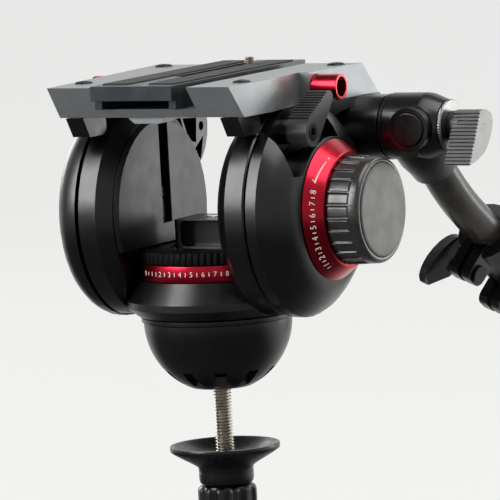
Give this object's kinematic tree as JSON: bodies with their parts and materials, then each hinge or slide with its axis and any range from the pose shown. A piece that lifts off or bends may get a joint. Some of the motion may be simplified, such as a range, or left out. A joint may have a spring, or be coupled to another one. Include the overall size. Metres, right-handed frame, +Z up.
{
  "type": "fluid tripod head",
  "caption": "Fluid video tripod head with a half-ball levelling base, sliding camera plate, tilt drag knob and telescopic pan handle.",
  "frame": {"origin": "centre of the half ball's sphere, on the pan axis, which is also the centre of the tripod bowl it sits in", "axes": "+Z up along the pan axis, -Y the front of the head, +X to the side with the tilt drag knob and the pan handle; the tilt axis runs along X"},
  "size_m": [0.2061, 0.3769, 0.2902],
  "materials": {
    "black_paint": "satin black powder coat",
    "grey_anodised": "satin grey anodised",
    "red_anodised": "bright red anodised",
    "steel": "turned, clear",
    "rubber": "moulded, matt",
    "lever_plastic": "dark grey, matt",
    "black_plastic": "black, fine grain",
    "cap_plastic": "mid grey, matt",
    "bronze": "sintered bearing bronze",
    "level_glass": "clear vial with yellow-green liquid"
  },
  "bodies": {
    "base": {"half_ball": "black_paint", "pan_base_plate": "grey_anodised", "tie_down_stud": "steel", "pan_spindle": "steel", "pan_bearing": "bronze", "pan_drag_rotor": "steel"},
    "tie_down_cup_body": {"tie_down_cup": "black_plastic"},
    "tie_down_knob_body": {"tie_down_knob": "black_plastic"},
    "yoke_body": {"yoke": "black_paint", "left_inner_cover": "black_plastic", "right_inner_cover": "black_plastic", "pan_housing": "black_plastic", "bubble_level": "level_glass", "pan_scale_ring": "red_anodised", "tilt_bearing_right": "bronze", "tilt_bearing_left": "bronze", "tilt_drag_cartridge": "grey_anodised", "counterbalance_drum": "steel"},
    "pan_drag_knob_body": {"pan_drag_knob": "rubber"},
    "pan_lock_body": {"pan_lock_lever": "lever_plastic"},
    "tilt_body": {"platform": "grey_anodised", "right_side_arm": "black_paint", "left_side_arm": "black_paint", "arm_screw_1": "black_paint", "arm_screw_2": "black_paint", "arm_screw_3": "black_paint", "arm_screw_4": "black_paint", "tilt_axle_right": "steel", "tilt_axle_left": "steel", "rosette_right": "steel", "rosette_left": "steel", "tilt_scale_ring": "red_anodised"},
    "plate_body": {"camera_plate": "black_paint", "plate_pad_left": "rubber", "plate_pad_right": "rubber"},
    "camera_screw_body": {"camera_screw": "steel"},
    "plate_clamp_body": {"plate_jaw": "grey_anodised", "plate_release_tube": "red_anodised"},
    "plate_safety_body": {"safety_pin": "steel", "safety_release_tube": "red_anodised"},
    "tilt_lock_body": {"tilt_lock_lever": "lever_plastic", "tilt_lock_screw": "steel", "tilt_lock_spindle": "steel"},
    "tilt_drag_knob_body": {"tilt_drag_knob": "rubber", "tilt_knob_cap": "cap_plastic"},
    "counterbalance_dial_body": {"counterbalance_dial": "rubber"},
    "handle_body": {"handle_head": "black_paint", "handle_head_cover": "black_plastic", "handle_head_plug": "black_plastic", "clamp_rosette": "steel", "handle_arm": "black_paint"},
    "handle_clamp_body": {"handle_clamp_lever": "lever_plastic", "handle_clamp_bolt": "steel"},
    "handle_tube_body": {"handle_tube": "black_paint", "handle_collar": "black_plastic", "collar_bolt": "steel", "handle_grip": "rubber", "handle_end_cap": "rubber"},
    "collar_knob_body": {"collar_knob": "rubber"}
  },
  "joints": [
    {"name": "pan", "type": "hinge", "parent": "base", "child": "yoke_body", "pos_m": [0, 0, 0.004], "axis": [0, 0, 1], "continuous": true},
    {"name": "tilt", "type": "hinge", "parent": "yoke_body", "child": "tilt_body", "pos_m": [0, 0, 0.0555], "axis": [1, 0, 0], "range_deg": [-70, 90]},
    {"name": "pan_drag", "type": "hinge", "parent": "yoke_body", "child": "pan_drag_knob_body", "pos_m": [0, 0, 0.0344], "axis": [0, 0, 1], "range_deg": [-150, 150]},
    {"name": "pan_lock", "type": "hinge", "parent": "yoke_body", "child": "pan_lock_body", "pos_m": [0, 0.05, 0.0095], "axis": [0, 1, 0], "range_deg": [-30, 80]},
    {"name": "tilt_drag", "type": "hinge", "parent": "tilt_body", "child": "tilt_drag_knob_body", "pos_m": [0.088, 0, 0.0555], "axis": [1, 0, 0], "range_deg": [-150, 150]},
    {"name": "tilt_lock", "type": "hinge", "parent": "tilt_body", "child": "tilt_lock_body", "pos_m": [0.065, -0.0205, 0.0965], "axis": [1, 0, 0], "range_deg": [-35, 75]},
    {"name": "counterbalance", "type": "hinge", "parent": "tilt_body", "child": "counterbalance_dial_body", "pos_m": [-0.0665, 0, 0.0445], "axis": [-1, 0, 0], "range_deg": [0, 270]},
    {"name": "plate_slide", "type": "slide", "parent": "tilt_body", "child": "plate_body", "axis": [0, 1, 0], "range_m": [-0.045, 0.045]},
    {"name": "camera_screw_turn", "type": "hinge", "parent": "plate_body", "child": "camera_screw_body", "pos_m": [-0.0037, 0.054, 0.116], "axis": [0, 0, 1], "continuous": true},
    {"name": "plate_clamp", "type": "slide", "parent": "tilt_body", "child": "plate_clamp_body", "axis": [1, 0, 0], "range_m": [0, 0.004], "stiffness_N_per_m": 1500, "springref_m": -0.002},
    {"name": "plate_safety", "type": "slide", "parent": "tilt_body", "child": "plate_safety_body", "axis": [-1, 0, 0], "range_m": [0, 0.003], "stiffness_N_per_m": 1200, "springref_m": -0.002},
    {"name": "handle_swing", "type": "hinge", "parent": "tilt_body", "child": "handle_body", "pos_m": [0.09, 0.055, 0.0915], "axis": [1, 0, 0], "range_deg": [-45, 120]},
    {"name": "handle_clamp", "type": "hinge", "parent": "tilt_body", "child": "handle_clamp_body", "pos_m": [0.118, 0.055, 0.0915], "axis": [1, 0, 0], "range_deg": [-30, 180]},
    {"name": "telescope", "type": "slide", "parent": "handle_body", "child": "handle_tube_body", "axis": [0, 0.8481, -0.5299], "range_m": [0, 0.09]},
    {"name": "collar_clamp", "type": "hinge", "parent": "handle_tube_body", "child": "collar_knob_body", "pos_m": [0.06734, 0.12145, 0.01494], "axis": [0.9367, -0.1856, -0.297], "range_deg": [-180, 180]},
    {"name": "tie_down_travel", "type": "slide", "parent": "base", "child": "tie_down_cup_body", "axis": [0, 0, 1], "range_m": [-0.00794, 0.0254]},
    {"name": "tie_down_turn", "type": "hinge", "parent": "tie_down_cup_body", "child": "tie_down_knob_body", "pos_m": [0, 0, -0.12], "axis": [0, 0, 1], "range_deg": [-1818, 5778]}
  ],
  "couplings": [
    {"joint": "tie_down_turn", "follows": "tie_down_travel", "rad_per_m": 3957.9}
  ]
}
